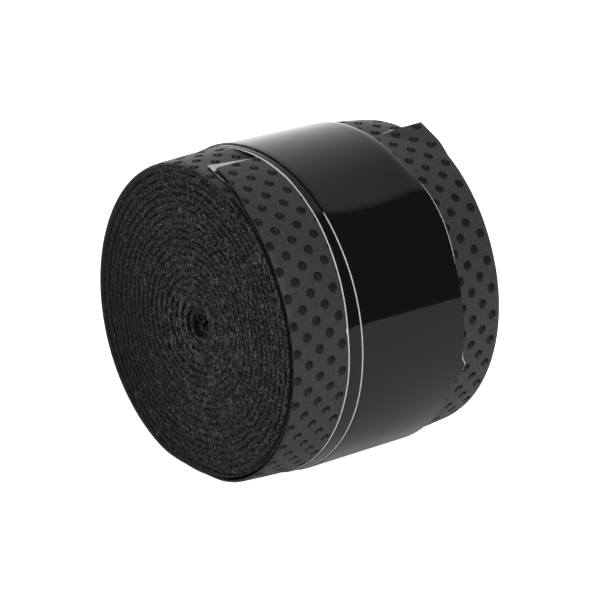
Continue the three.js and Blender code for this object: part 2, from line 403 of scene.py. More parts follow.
def flat_skin():
    """The outer skin laid flat: x along the tape, y across it, z the depth."""
    templates = dimple_cell(), plain_cell()
    points, faces, total = [], [], 0
    rows = range(-SPARE_ROWS, int((SKIN_LAP - FIRST_ROW) / ROW_ANGLE) + SPARE_ROWS)
    for row, column in product(rows, CELL_COLUMNS):
        across = FIRST_DIMPLE + column * DIMPLE_SPACING
        is_plain = (row + column) % 2 == 1 or across > TAPE_FAR
        cell_points, cell_faces = templates[is_plain]
        along = math.radians(FIRST_ROW + row * ROW_ANGLE) * ARC_RADIUS
        points.append(cell_points + (along, across, 0))
        faces += [[corner + total for corner in face] for face in cell_faces]
        total += len(cell_points)
    mesh = bpy.data.meshes.new("flat_skin")
    mesh.from_pydata(np.concatenate(points), [], faces)
    edit = bmesh.new()
    edit.from_mesh(mesh)
    bpy.data.meshes.remove(mesh)
    bmesh.ops.remove_doubles(edit, verts=edit.verts, dist=1e-3)
    cut(edit, (0, TAPE_NEAR), (0, -1))
    cut(edit, (0, TAPE_FAR), (0, 1))
    for slope in (END_SLOPE_NEAR, END_SLOPE_FAR):
        cut(edit, END_MEETS, (-1, slope))
    cut(edit, (0, TAPE_NEAR + TRIM), (-TRIM, -TRIM_LENGTH))
    cut(edit, (end_along(TAPE_NEAR) + CORNER_ROUND, TAPE_NEAR + TRIM), (-1, -1))
    cut(edit, (SKIN_LENGTH, 0), (1, 0))
    cut(edit, (0, TAB_CUT_Y), (0, 1), remove=False)
    cut(edit, (TAB_LENGTH, 0), (1, 0), remove=False)
    return edit


def in_tab(along, y):
    """Whether places on the flat tape belong to its free corner."""
    return (y > TAB_CUT_Y) & (along < TAB_LENGTH)


def skin_part(source, is_tab):
    """The flat points and faces of the roll's skin or of its free corner's: the face, and its walls."""
    edit = source.copy()
    middles = np.array([face.calc_center_median() for face in edit.faces])
    wanted = in_tab(middles[:, 0], middles[:, 1]) == is_tab
    spare = [face for face, keep in zip(edit.faces, wanted) if not keep]
    bmesh.ops.delete(edit, geom=spare, context="FACES")
    for vertex in edit.verts:
        along, y, depth = vertex.co
        near = TAPE_NEAR + near_trim(math.degrees(along / ARC_RADIUS))
        from_edge = min(y - near, TAPE_FAR - y, along - end_along(y))
        to_edge = min(max(1 - from_edge / EDGE_ROLL, 0), 1)
        vertex.co.z = depth * (1 - to_edge) + EDGE_DROP * to_edge**2
    border = [edge for edge in edit.edges if edge.is_boundary]
    walls = bmesh.ops.extrude_edge_only(edit, edges=border)
    for item in walls["geom"]:
        if isinstance(item, bmesh.types.BMVert):
            item.co.z = SKIN
    edit.verts.index_update()
    points = np.array([vertex.co for vertex in edit.verts])
    faces = [[vertex.index for vertex in face.verts] for face in edit.faces]
    edit.free()
    return points, faces


def dimple_shade(along, y):
    """How much painted shade a dimple takes: most at its wall nearest the tape's outer end, and 0 outside
    it.
    """
    row = np.round((np.degrees(along / ARC_RADIUS) - FIRST_ROW) / ROW_ANGLE)
    in_row = (y - FIRST_DIMPLE) / DIMPLE_SPACING
    column = np.round((in_row - row) / 2) * 2 + row
    x = along - np.radians(FIRST_ROW + row * ROW_ANGLE) * ARC_RADIUS
    distance = np.hypot(x, (in_row - column) * DIMPLE_SPACING)
    share = smoothstep(-distance, -WALL_OUTSIDE, -WALL_INSIDE)
    share = share - FLOOR_LIGHTER * smoothstep(-distance, -FLOOR_OUTSIDE, -FLOOR_INSIDE)
    return share * (1 - LOWER_LIGHTER * smoothstep(x, LOWER_FROM, LOWER_TO))


UNDERSIDE_STEP = 0.6
UNDERSIDE_COLUMNS = 12


def underside(is_tab):
    """The points and faces of the flat side of the skin that is bonded to the felt."""
    ranges = [((0, TAB_LENGTH), (TAPE_NEAR, TAB_CUT_Y)), ((TAB_LENGTH, SKIN_LENGTH), (TAPE_NEAR, TAPE_FAR))]
    if is_tab:
        ranges = [((0, TAB_LENGTH), (TAB_CUT_Y, TAPE_FAR))]
    points, faces, total = [], [], 0
    for (start, end), (near, far) in ranges:
        shares = np.linspace(0, 1, max(2, int((end - start) / UNDERSIDE_STEP)))
        across = np.linspace(near, far, UNDERSIDE_COLUMNS)
        first = end_along(across) if start == 0 else np.full_like(across, start)
        along = first + shares[:, None] * (end - first)
        trim = 0 if is_tab else near_trim(np.degrees(along / ARC_RADIUS))
        y = across + trim * (far - across) / (far - near) + 0 * along
        grid = np.stack([along, y, np.full_like(along, SKIN)], -1)
        index = total + np.arange(along.size).reshape(along.shape)
        quads = np.stack([index[:-1, :-1], index[:-1, 1:], index[1:, 1:], index[1:, :-1]], -1)
        points.append(grid.reshape(-1, 3))
        faces += quads.reshape(-1, 4).tolist()
        total += along.size
    return np.concatenate(points), faces


LEAST_EDGE_SHADE = 0.3  # the skin's cut edge takes this share of the painted shade, and all of it where the felt has parted from it and the gap lies in shade


def build_outer_skin(material):
    """The dimpled skin of the outer turn, and that of its free corner."""
    source = flat_skin()
    made = []
    parts = (("tape_skin_outer", False, tape_place), ("corner_skin", True, tab_place))
    for name, is_tab, place in parts:
        points, faces = skin_part(source, is_tab)
        below, below_faces = underside(is_tab)
        faces += [[corner + len(points) for corner in face] for face in below_faces]
        flat = np.concatenate([points, below])
        along, y, depth = flat.T
        wound = np.degrees(along / ARC_RADIUS)
        body = None if is_tab else "tape_roll"
        piece = add_piece(name, place(wound, y, depth), faces, material, "grip_skin", body, smooth=50)
        # Painted shade: in the dimples, and along the skin's cut edge, most where the felt has parted from
        # it.
        edge_shade = LEAST_EDGE_SHADE + (1 - LEAST_EDGE_SHADE) * felt_parted(wound)
        share = np.where(depth < SKIN - 0.01, dimple_shade(along, y), edge_shade)
        piece.data.attributes.new(DIMPLE_AND_EDGE_SHADE, "FLOAT", "POINT").data.foreach_set("value", share)
        made.append(piece)
    source.free()
    return made


# ---- wound skin and felt

FELT_MIDDLE = (FELT_TOP + FELT_BOTTOM) / 2
FELT_BULGE = 0.33  # half the felt's thickness where it fluffs out at the tape's edge
FELT_PROUD = 0.22  # how far that edge is rounded
EDGE_TURN = 1.25  # and how far round it goes, in radians
EDGE_POINTS = 9
SKIN_RECESS = 0.35  # in the inner turns, the skin's cut edge lies this far inside the felt's
INNER_SKIN_TOP = 0.02
INNER_SKIN_STEP = 0.4
INNER_SKIN_UNEVEN = 0.04
FELT_STEP = 0.14
CORNER_FELT_STEP = 0.2
FELT_START = 0.4  # the felt's outer end lies this far inside the skin's, in degrees
GROOVE_SHADE_MARK, SIDE_SHADE_MARK = "groove_shade", "side_shade"
GROOVE_FROM, GROOVE_TO = 0.5, 0.95  # the felt is painted dark as shade in the grooves between its rounded edges
SIDE_GROOVE_EASE = 0.45  # and less so towards -X and down, where the felt takes a flat, darker painted shade instead
SIDE_SHADE_SHARE = 0.85
SIDE_SHADE_SLANT = 0.5
SIDE_SHADE_PLACES = (-14, 0)
FELT_TRIM = 0.25  # the felt's near corner is trimmed by this share of what the skin's is
PARTED_WOUND = (140, 170)  # up to here the outer turn's felt has parted from its skin at the edges
OUTER_RECESS = 0.15  # there it ends this far inside its skin
OUTER_FELT_TOP = 0.54  # and has come away from it, down to here
OUTER_COVER = 0.08  # further round it sticks out this far past its skin
TURN_UNEVEN, TURN_UNEVEN_LENGTH = 0.05, 170  # whole stretches of the felt lie a little to one side
FLUFF = ((0.06, 0.9, 7), (0.06, 0.3, 8), (0.06, 0.15, 9))  # its edges' unevenness: (height, size, seed)
LOOSE, OUTER_LOOSE, LOOSE_SIZE = 0.05, 0.015, 0.26  # and how far their surface is shifted sideways
PATCH_ANGLE = 32  # the starting patch lies under the felt up to here, and presses it thinner
PATCH_RAMP = 10
PATCH_ROOM = 0.14


def patch_press(wound):
    """How much thinner the felt is over the starting patch."""
    return PATCH_ROOM * np.clip((PATCH_ANGLE + PATCH_RAMP - wound) / PATCH_RAMP, 0, 1)


def edge_turn(outline):
    """How far round the felt's rounded edge each point of its outline lies, from -EDGE_TURN to EDGE_TURN."""
    return np.arcsin(np.clip((outline[:, 1] - FELT_MIDDLE) / FELT_BULGE, -1, 1))


def edge_profile(near, far, across=2):
    """The felt's outline, as (y, depth) points: a rounded edge at near, then one at far."""
    turn = np.linspace(-EDGE_TURN, EDGE_TURN, EDGE_POINTS)
    out = FELT_PROUD * (1 - np.cos(turn))
    depth = FELT_MIDDLE + FELT_BULGE * np.sin(turn)
    between = np.linspace(near + out[-1], far - out[-1], across)[1:-1]
    low = np.stack([near + out, depth], -1)
    bottom = np.stack([between, np.full_like(between, FELT_BOTTOM)], -1)
    high = np.stack([far - out, depth[::-1]], -1)
    top = np.stack([between[::-1], np.full_like(between, FELT_TOP)], -1)
    return np.concatenate([low, bottom, high, top])


def build_inner_skin(material):
    """The skin of all the turns under the outer one. Only its edges show, as dark lines on the end faces."""
    wound = wound_steps(SKIN_LAP, TAPE_TURNS * 360, INNER_SKIN_STEP)
    near, far = TAPE_NEAR + SKIN_RECESS, TAPE_FAR - SKIN_RECESS
    y = np.array([near, near, far, far])
    depth = np.array([SKIN, INNER_SKIN_TOP, INNER_SKIN_TOP, SKIN])
    uneven = INNER_SKIN_UNEVEN * noise(np.stack([wound / 6, wound * 0, wound * 0], -1), 1, 5)
    rows = tape_place(wound[:, None], y + uneven[:, None], depth)
    return add_piece("tape_skin_inner", *loft(rows), material, "grip_skin", "tape_roll", smooth=40)


def felt_parted(wound):
    """1 where the outer turn's felt has parted from its skin, 0 where it covers the skin's edge."""
    return 1 - smoothstep(wound, *PARTED_WOUND)


def felt_rows(wound, place, near, far, across=2):
    """Sections of a felt strip with soft, uneven edges, and how much painted shade their points take in the
    grooves and towards -X and down.
    """
    outline = edge_profile(near, far, across)
    wound = slanted(wound[:, None], outline[:, 0])
    y = np.broadcast_to(outline[:, 0], wound.shape).copy()
    is_near, is_far = outline[:, 0] < TAPE_NEAR + 1, outline[:, 0] > TAPE_FAR - 1
    parted = felt_parted(wound)
    recess = (OUTER_RECESS * parted - OUTER_COVER * (1 - parted)) * (wound < SKIN_LAP)
    y += FELT_TRIM * near_trim(wound) * is_near + recess * (is_near * 1 - is_far)
    lower_share = (outline[:, 1] - FELT_TOP) / (FELT_BOTTOM - FELT_TOP)
    depth = outline[:, 1] - patch_press(wound) * np.clip(lower_share, 0, 1)
    is_outer = (wound < SKIN_LAP) & (place is tape_place)
    outer_top = FELT_TOP + (OUTER_FELT_TOP - FELT_TOP) * parted
    depth = np.where(is_outer, np.maximum(depth, outer_top), depth)
    stretch = np.stack([wound / TURN_UNEVEN_LENGTH, wound * 0, wound * 0], -1)
    turn_offset = TURN_UNEVEN * noise(stretch, 1, 6)
    middle = (near + far) / 2
    points = place(wound, y + turn_offset, depth)
    is_edge = np.abs(outline[:, 0] - middle) > (far - near) / 2 - FELT_PROUD
    fluff = sum(height * noise(points, size, seed) for height, size, seed in FLUFF)
    points[..., 1] += np.sign(outline[:, 0] - middle) * is_edge * fluff
    loose = is_edge * np.where(is_outer, OUTER_LOOSE, LOOSE)
    points[..., 0] += loose * noise(points, LOOSE_SIZE, 10)
    points[..., 2] += loose * noise(points, LOOSE_SIZE, 11)
    # Towards -X and down the felt is painted a flat, darker colour, as shade on that side.
    slant_place = points[..., 0] + SIDE_SHADE_SLANT * (points[..., 2] - AXIS_HEIGHT)
    side_shade = 1 - smoothstep(slant_place, *SIDE_SHADE_PLACES)
    in_groove = smoothstep(np.abs(np.sin(edge_turn(outline))), GROOVE_FROM, GROOVE_TO)
    return points, in_groove * (1 - SIDE_GROOVE_EASE * side_shade), SIDE_SHADE_SHARE * side_shade


def add_felt(name, rows, groove_shade, side_shade, material, body):
    """A felt piece, marked where it is painted with shade: in its edges' grooves and towards -X and down."""
    piece = add_piece(name, *loft(rows), material, "felt", body, smooth=80)
    for attribute, values in ((GROOVE_SHADE_MARK, groove_shade), (SIDE_SHADE_MARK, side_shade)):
        piece.data.attributes.new(attribute, "FLOAT", "POINT").data.foreach_set("value", values.ravel())
    return piece


def build_wound_felt(material):
    """The felt of the whole roll, as one strip with fluffy edges, narrower beside the free corner."""
    first = wound_steps(FELT_START, TAB_CUT_WOUND, FELT_STEP)
    rest = wound_steps(TAB_CUT_WOUND, TAPE_TURNS * 360, FELT_STEP)
    beside = felt_rows(first, tape_place, TAPE_NEAR, TAB_CUT_Y)
    whole = felt_rows(rest, tape_place, TAPE_NEAR, TAPE_FAR)
    rows, groove_shade, side_shade = (np.concatenate(pair) for pair in zip(beside, whole))
    return add_felt("tape_felt_wound", rows, groove_shade, side_shade, material, "tape_roll")


def build_corner_felt(material):
    """The felt of the free corner."""
    wound = wound_steps(FELT_START, TAB_CUT_WOUND, CORNER_FELT_STEP)
    rows, groove_shade, side_shade = felt_rows(wound, tab_place, TAB_CUT_Y, TAPE_FAR, across=16)
    return add_felt("corner_felt", rows, groove_shade, side_shade, material, None)


# ---- the starting patch

ADHESIVE_TOP, ADHESIVE_BOTTOM = 0.56, 0.61
LINER_TOP, LINER_BOTTOM = 0.63, 0.68
PATCH_INSET = 0.35
PATCH_START = 0.5  # the adhesive starts this far inside the tape's end, in degrees
PATCH_COLUMNS = 40
PATCH_ROW_ANGLE = 0.8
# The liner lies askew. Its near edge, as (wound, y):
LINER_NEAR = ((-5, -11.2), (1.5, -11.65), (6, -11.75), (9, -11.6), (32, -12))
LINER_NEAR_REACH = 4  # how far in from that edge the mesh follows it
# Its outer end, as (y, wound), shows past the tape's at the near side, and a little at the far side.
LINER_END = (
    (-11.2, -5.3), (-8, -3.8), (-5.8, -2.8), (-5.7, -1.2), (6.9, 2.4), (7.6, 1.4), (10, 1.9), (10.8, 3.6),
    (13, 4.4),
)
LINER_LIFT = 0.09  # where the liner isn't covered, it lies this much higher
OPEN_BEFORE = (-1, 0.5)  # before the tape's end, in degrees
OPEN_BESIDE = (11.75, 12)  # and beside its near edge


def liner_lift(wound, y):
    """How far the liner lies above its place under the felt."""
    before = smoothstep(-wound, *OPEN_BEFORE)
    beside = smoothstep(-y, *OPEN_BESIDE)
    return LINER_LIFT * np.maximum(before, beside)


def build_patch(name, top, bottom, is_liner, material, slot):
    """One layer of the starting patch: the part under the wound tape, and the part on its free corner."""
    made = []
    parts = (
        (name, TAPE_NEAR + 2 * PATCH_INSET, TAB_CUT_Y, tape_place, "tape_roll"),
        ("corner_" + name, TAB_CUT_Y, TAPE_FAR - PATCH_INSET, tab_place, None),
    )
    for part, near, far, place, body in parts:
        across = np.linspace(near, far, PATCH_COLUMNS)
        start = np.degrees(end_along(across) / ARC_RADIUS) + PATCH_START
        if is_liner:
            start = np.interp(across + END_SHIFT, *np.array(LINER_END).T)
        end = PATCH_ANGLE if body else TAB_CUT_WOUND
        row_count = int((end - np.min(start)) / PATCH_ROW_ANGLE) + 2
        wound = start + (end - start) * np.linspace(0, 1, row_count)[:, None]
        y = across + 0 * wound
        if is_liner and body:
            edge = np.interp(wound, *np.array(LINER_NEAR).T) - end_shift(wound)
            y = y + (edge - near) * np.clip(1 - (y - near) / LINER_NEAR_REACH, 0, 1)
        lift = liner_lift(wound, y) if is_liner else 0
        upper, lower = place(wound, y, top - lift), place(wound, y, bottom - lift)
        rows = np.concatenate([upper, lower[:, ::-1]], 1)
        made.append(add_piece(part, *loft(rows), material, slot, body, smooth=40))
    return made


# ---- the band

BAND_FACE = 16.58
# How the band's edges wander along its visible side, as (angle, y).
OUTER_NEAR = (
    (-75, -4.9), (-21, -4.83), (0, -4.93), (23, -4.98), (37, -5.03), (58, -5.03), (96, -5.44), (130, -5.2),
)
INNER_NEAR = (
    (-75, -6.4), (-33, -6.47), (-7, -6.41), (9, -6.47), (28, -6.21), (46, -6.0), (68, -5.83), (97, -6.06),
)
OUTER_FAR = (
    (-75, 7.5), (-47, 7.44), (-19, 7.7), (-18, 8.2), (-15, 8.34), (-12, 7.75), (-10, 7.72), (9, 7.42),
    (22, 7.32), (36, 7.5), (44, 7.45), (50, 7.3), (57, 7.1), (65, 6.95), (90, 6.88), (130, 7.1),
)
SEEN_FROM, SEEN_TO = (-110, -75), (100, 140)  # round the back they are straight
OUTER_OVER, OUTER_TUCK = 0.095, 0.145  # the outer turn's backing sticks out below, and is tucked in above
TUCKS = (48.5, 51)
INNER_OVER, INNER_WIDER = 0.105, 0.09  # the inner turn's sticks out too, and more above
INNER_WIDENS = (58, 75)
NICK_ANGLE = 9.3  # a burr on the inner turn's backing
NICK_WIDTH = 1.1
NICK_LENGTH = 0.12
FAR_OVER, FAR_GLINT_WIDER, FAR_TORN = 0.04, 0.09, 0.1  # and past the far edge, more where its white stands as a painted highlight along the film's edge, and at a tear
FAR_WIDENS, FAR_NARROWS = (18, 26), (51.5, 54)
TEAR_STARTS, TEAR_ENDS = (-19, -18), (-11, -9)
CROSSING = (275, 445)  # wound angles over which the strip moves aside to its inner turn
BAND_ROW_ANGLE = 0.75
BAND_COLUMNS = 40
NEAR_CURL, FAR_CURL = 0.02, 0.08  # the film's edges turn down by this much
FAR_CURLS = (46, 60)  # the far one only above here
CURL_REACH = 0.5


def wander(angle, places, base):
    """An edge's y: as in places along the visible side, and base round the back."""
    angles, values = np.array(places).T
    seen = np.interp(angle, angles, values)
    share = smoothstep(angle, *SEEN_FROM) * (1 - smoothstep(angle, *SEEN_TO))
    return base + (seen - base) * share


def band_rows(top, bottom, is_backing):
    """Sections of one layer of the band. The backing reaches out past the film's edges."""
    wound = np.arange(0, BAND_TURNS * 360 - BAND_END_GAP + 0.01, BAND_ROW_ANGLE)
    turn = wound // 360
    angle = BAND_END - wound + turn * 360
    step = np.clip((wound - turn * 360 - (360 - BAND_STEP_ANGLE)) / BAND_STEP_ANGLE, 0, 1)
    drift = BAND_NEAR + BAND_DRIFT * smoothstep(wound, *CROSSING)
    is_outer = wound < CROSSING[0]
    is_crossing = (wound > CROSSING[0]) & (wound < CROSSING[1])
    near = np.where(is_outer, wander(angle, OUTER_NEAR, drift), wander(angle, INNER_NEAR, drift))
    near = np.where(is_crossing, drift, near)
    far = np.where(is_outer, wander(angle, OUTER_FAR, drift + BAND_WIDTH), drift + BAND_WIDTH)
    near = near - is_backing * near_overhang(angle, turn)
    far = far + is_backing * far_overhang(angle, turn)
    share = np.linspace(0, 1, BAND_COLUMNS)
    y = near[:, None] + (far - near)[:, None] * share
    radians = np.radians(angle)[:, None]
    face = BAND_FACE - BAND_PITCH * (turn + step)[:, None] - held_sag(radians, y)
    curl = NEAR_CURL * np.clip(1 - (y - near[:, None]) / CURL_REACH, 0, 1) ** 2
    far_curl = FAR_CURL * smoothstep(angle, *FAR_CURLS)[:, None]
    curl = curl + far_curl * np.clip(1 - (far[:, None] - y) / CURL_REACH, 0, 1) ** 2
    layers = []
    for depth in (top, bottom):
        radius = (face - depth - curl) * pressed_flat(radians, 1)
        x, z = radius * np.cos(radians), radius * np.sin(radians) + AXIS_HEIGHT
        layers.append(np.stack([x, y, z], -1))
    return np.concatenate([layers[0], layers[1][:, ::-1]], 1)


def near_overhang(angle, turn):
    """How far the backing shows along the band's near edges."""
    outer = OUTER_OVER - OUTER_TUCK * smoothstep(angle, *TUCKS)
    nick = NICK_LENGTH * np.clip(1 - np.abs(angle - NICK_ANGLE) / NICK_WIDTH, 0, 1)
    inner = INNER_OVER + INNER_WIDER * smoothstep(angle, *INNER_WIDENS) + nick
    return np.where(turn == 0, outer, inner)


def far_overhang(angle, turn):
    """How far the backing shows along the outer turn's far edge, widened where its white is a painted
    highlight.
    """
    wider = smoothstep(angle, *FAR_WIDENS) * (1 - smoothstep(angle, *FAR_NARROWS))
    torn = smoothstep(angle, *TEAR_STARTS) * (1 - smoothstep(angle, *TEAR_ENDS))
    return np.where(turn == 0, FAR_OVER + FAR_GLINT_WIDER * wider + FAR_TORN * torn, 0)


def build_band(film, backing):
    """The film of the band and its pale backing, each one strip wound twice."""
    film_rows = band_rows(0, FILM, False)
    backing_rows = band_rows(BACKING_TOP, BACKING_BOTTOM, True)
    return (
        add_piece("band_film_strip", *loft(film_rows), film, "film", "band", smooth=50),
        add_piece("band_backing_strip", *loft(backing_rows), backing, "backing", "band", smooth=50),
    )


# ---- stray fibres

FIBRE_SIDES = 3
FIBRE_RINGS = 5
FIBRE_LENGTHS = (0.12, 0.9)
FIBRE_THICKNESSES = (0.008, 0.02)
FIBRE_RIM = 1  # none starts within this of the tape's face
FIBRE_CALM = (0.5, 2)  # near it they lie along the turns, and further in less so
FIBRE_SCATTER = 0.9
FIBRE_RISE, FIBRE_LEAST_RISE, FIBRE_FALL = 0.16, 0.2, 0.8  # they rise from the face and fall back to it
FIBRE_BEND = 0.35
FIBRE_RECESS = 0.15
LEAST_FIBRES, FIBRE_PLACES = 0.12, (-12, 2)  # there are fewer towards -X


def build_fibres(name, side, count, seed, material):
    """Curved stray fibres that lie on one end face of the roll, on the -Y end where side is -1."""
    random = np.random.default_rng(seed)
    radius = (TAPE_RADIUS - FIBRE_RIM) * np.sqrt(random.uniform(0.01, 1, count))
    angle = random.uniform(-np.pi, np.pi, count)
    kept_share = LEAST_FIBRES + smoothstep(radius * np.cos(angle), *FIBRE_PLACES)
    is_kept = random.uniform(0, 1, count) < kept_share
    radius, angle = radius[is_kept], angle[is_kept]
    count = len(radius)
    share = (radius / TAPE_RADIUS) ** SETTLES
    radius = (radius + out_of_round(angle, side) * share) * pressed_flat(angle, share) - FIBRE_RECESS
    face = -TAPE_NEAR if side < 0 else TAPE_FAR
    level = np.full(count, side * (face - 0.02))
    start = np.stack([radius * np.cos(angle), level, radius * np.sin(angle)], -1)
    start[:, 2] += AXIS_HEIGHT
    inside = np.clip((TAPE_RADIUS - FIBRE_CALM[0] - radius) / FIBRE_CALM[1], 0, 1)
    around = angle + np.pi / 2 + random.normal(0, FIBRE_SCATTER, count) * inside
    rise = np.abs(random.normal(0, FIBRE_RISE, count))
    rise = rise * (FIBRE_LEAST_RISE + (1 - FIBRE_LEAST_RISE) * inside)
    length = random.uniform(*FIBRE_LENGTHS, count)
    direction = np.stack([np.cos(around), side * rise, np.sin(around)], -1)
    bend_angle = around + np.pi / 2
    bend = np.stack([np.cos(bend_angle), np.zeros(count), np.sin(bend_angle)], -1)
    bend *= (random.normal(0, FIBRE_BEND, count) * inside)[:, None]
    bend[:, 1] = -side * rise * FIBRE_FALL
    along = np.linspace(0, 1, FIBRE_RINGS)[None, :, None]
    spine = start[:, None] + length[:, None, None] * (direction[:, None] * along + bend[:, None] * along**2)
    thick = random.uniform(*FIBRE_THICKNESSES, count)
    turn = np.arange(FIBRE_SIDES) * 2 * np.pi / FIBRE_SIDES
    sideways = np.stack([-np.sin(around), np.zeros(count), np.cos(around)], -1)[:, None, None]
    outwards = np.array([0, 1, 0])
    ring = np.cos(turn)[:, None] * sideways + np.sin(turn)[:, None] * outwards
    points = spine[:, :, None] + ring * thick[:, None, None, None]
    index = np.arange(count * FIBRE_RINGS * FIBRE_SIDES).reshape(count, FIBRE_RINGS, FIBRE_SIDES)
    faces = ring_faces(index) + index[:, 0].tolist() + index[:, -1].tolist()
    return add_piece(name, points.reshape(-1, 3), faces, material, "felt", "tape_roll", smooth=180)


# ---- materials


class Nodes:
    """A material's nodes: the Principled shader, and short ways to add to it."""

    def __init__(self, name, **sockets):
        self.material = bpy.data.materials.new(name)
        self.material.use_nodes = True
        self.tree = self.material.node_tree
        self.shader = self.tree.nodes["Principled BSDF"]
        for socket, value in sockets.items():
            self.shader.inputs[socket.replace("_", " ")].default_value = value

    def add(self, kind, **settings):
        """A new node of that kind."""
        node = self.tree.nodes.new(kind)
        for setting, value in settings.items():
            setattr(node, setting, value)
        return node

    def link(self, source, target):
        self.tree.links.new(source, target)

    def noise(self, size_mm, detail=4, roughness=0.6):
        """A noise pattern of that size, fixed to the object."""
        place = self.add("ShaderNodeTexCoord")
        pattern = self.add("ShaderNodeTexNoise")
        pattern.inputs["Scale"].default_value = 1 / (size_mm * MM)
        pattern.inputs["Detail"].default_value = detail
        pattern.inputs["Roughness"].default_value = roughness
        self.link(place.outputs["Object"], pattern.inputs["Vector"])
        return pattern.outputs["Fac"]

    def ramp(self, source, *stops):
        """Colours or greys between stops, each (position, colour)."""
        ramp = self.add("ShaderNodeValToRGB")
        elements = ramp.color_ramp.elements
        while len(elements) < len(stops):
            elements.new(0.5)
        for element, (position, colour) in zip(elements, stops):
            element.position = position
            is_grey = isinstance(colour, float)
            element.color = (colour, colour, colour, 1) if is_grey else (*colour, 1)
        self.link(source, ramp.inputs["Fac"])
        return ramp.outputs["Color"]

    def bump(self, height, distance_mm, strength, under=None):
        """A surface made uneven by a pattern, on top of another unevenness if one is given."""
        node = self.add("ShaderNodeBump")
        node.inputs["Distance"].default_value = distance_mm * MM
        node.inputs["Strength"].default_value = strength
        self.link(height, node.inputs["Height"])
        if under is not None:
            self.link(under, node.inputs["Normal"])
        return node.outputs["Normal"]

    def marked(self, attribute, plain, marked):
        """One colour, turning to another where the mesh is marked."""
        share = self.add("ShaderNodeAttribute", attribute_name=attribute)
        mix = self.add("ShaderNodeMix", data_type="RGBA")
        self.link(share.outputs["Fac"], mix.inputs["Factor"])
        self.link(plain, mix.inputs["A"])
        mix.inputs["B"].default_value = marked
        return mix.outputs["Result"]

    def set(self, socket, source):
        self.link(source, self.shader.inputs[socket])


def skin_material():
    """Soft matt polyurethane with a fine grain, with painted shade in its dimples and along its cut edge."""
    skin = Nodes("grip_skin", Specular_IOR_Level=0.45)
    dark, light = (0.028, 0.029, 0.031), (0.056, 0.057, 0.059)
    plain = skin.ramp(skin.noise(0.35, 6, 0.7), (0.3, dark), (0.7, light))
    # The marked colour is painted shade.
    skin.set("Base Color", skin.marked(DIMPLE_AND_EDGE_SHADE, plain, (0.006, 0.006, 0.0065, 1)))
    skin.set("Roughness", skin.ramp(skin.noise(0.5, 3), (0.3, 0.46), (0.7, 0.56)))
    skin.set("Normal", skin.bump(skin.noise(0.2, 4, 0.7), 0.02, 0.8))
    return skin.material


def felt_material():
    """Black needled felt: matt, with lighter fibres on dark ones, and painted shade in its grooves and
    towards -X and down.
    """
    felt = Nodes("felt", Specular_IOR_Level=0.2, Roughness=0.95, Sheen_Weight=0.12, Sheen_Roughness=0.5)
    felt.shader.inputs["Sheen Tint"].default_value = (0.5, 0.5, 0.52, 1)
    gaps, fuzz, strands = (0.003, 0.003, 0.0031), (0.02, 0.02, 0.0205), (0.21, 0.21, 0.215)
    fibres = felt.ramp(felt.noise(0.18, 3, 0.75), (0.42, gaps), (0.53, fuzz), (0.64, strands))
    # This flat darker colour is painted shade.
    side_shaded = felt.marked(SIDE_SHADE_MARK, fibres, (0.017, 0.017, 0.0175, 1))
    # The groove colour is painted shade.
    felt.set("Base Color", felt.marked(GROOVE_SHADE_MARK, side_shaded, (0.0025, 0.0025, 0.0026, 1)))
    coarse = felt.bump(felt.noise(0.3, 4), 0.08, 0.6)
    felt.set("Normal", felt.bump(felt.noise(0.12, 4, 0.8), 0.08, 0.9, coarse))
    return felt.material


def fibre_material():
    """Loose fibres, which catch more light than the felt."""
    fibre = Nodes("felt_fibre", Specular_IOR_Level=0.3, Roughness=0.7)
    dark, light = (0.03, 0.03, 0.032), (0.34, 0.34, 0.35)
    fibre.set("Base Color", fibre.ramp(fibre.noise(0.8, 2), (0.35, dark), (0.65, light)))
    return fibre.material


def film_material():
    """Glossy black film, with a very slight unevenness in its reflections."""
    film = Nodes("film", Base_Color=(0.004, 0.004, 0.0045, 1), Specular_IOR_Level=0.5)
    film.set("Roughness", film.ramp(film.noise(4, 4), (0.35, 0.045), (0.65, 0.07)))
    film.set("Normal", film.bump(film.noise(2.2, 2), 0.01, 0.35))
    return film.material


def paper_material(name, light, dark):
    """Smooth pale paper, slightly mottled."""
    paper = Nodes(name, Roughness=0.6, Specular_IOR_Level=0.4)
    paper.set("Base Color", paper.ramp(paper.noise(1.2, 5), (0.3, dark), (0.6, light)))
    paper.set("Normal", paper.bump(paper.noise(0.15, 3), 0.01, 0.4))
    return paper.material


# ---- studio

DIM = 0.08  # the brightness of the studio where no light hangs
HORIZON_LIGHT = 1.5  # the light behind the roll is this bright at the horizon
LIGHT_FALL = 1.47  # and dimmer overhead
ZENITH_LIGHT = 0.3
LIGHT_SLANT = 0.29  # its edge towards +X leans by this much
LIGHT_EDGE = (0.02, 0.13)
LIGHT_FRONT = (-0.5, 0.1)  # and it fades out towards -Y
FLOOR_SIZE = 4
FLOOR_EDGE = 0.22  # the floor ends this far from the roll towards +X
FLOOR_AWAY = (-0.6, 0.8, 0)  # this way, behind the roll, the floor is lit more
FLOOR_RISE = (0.01, 0.07)  # from here to here, in metres
FLOOR_GLOW = (0.1, 1.2)
FLOOR_TO_CAMERA = 1.1  # the camera sees the whole floor white


def rising(tree, value, places, results=(0, 1)):
    """A node's output that goes smoothly between two results as value goes between two places."""
    node = tree.nodes.new("ShaderNodeMapRange")
    node.interpolation_type = "SMOOTHSTEP"
    for name, number in zip(("From Min", "From Max", "To Min", "To Max"), (*places, *results)):
        node.inputs[name].default_value = number
    tree.links.new(value, node.inputs["Value"])
    return node.outputs["Result"]


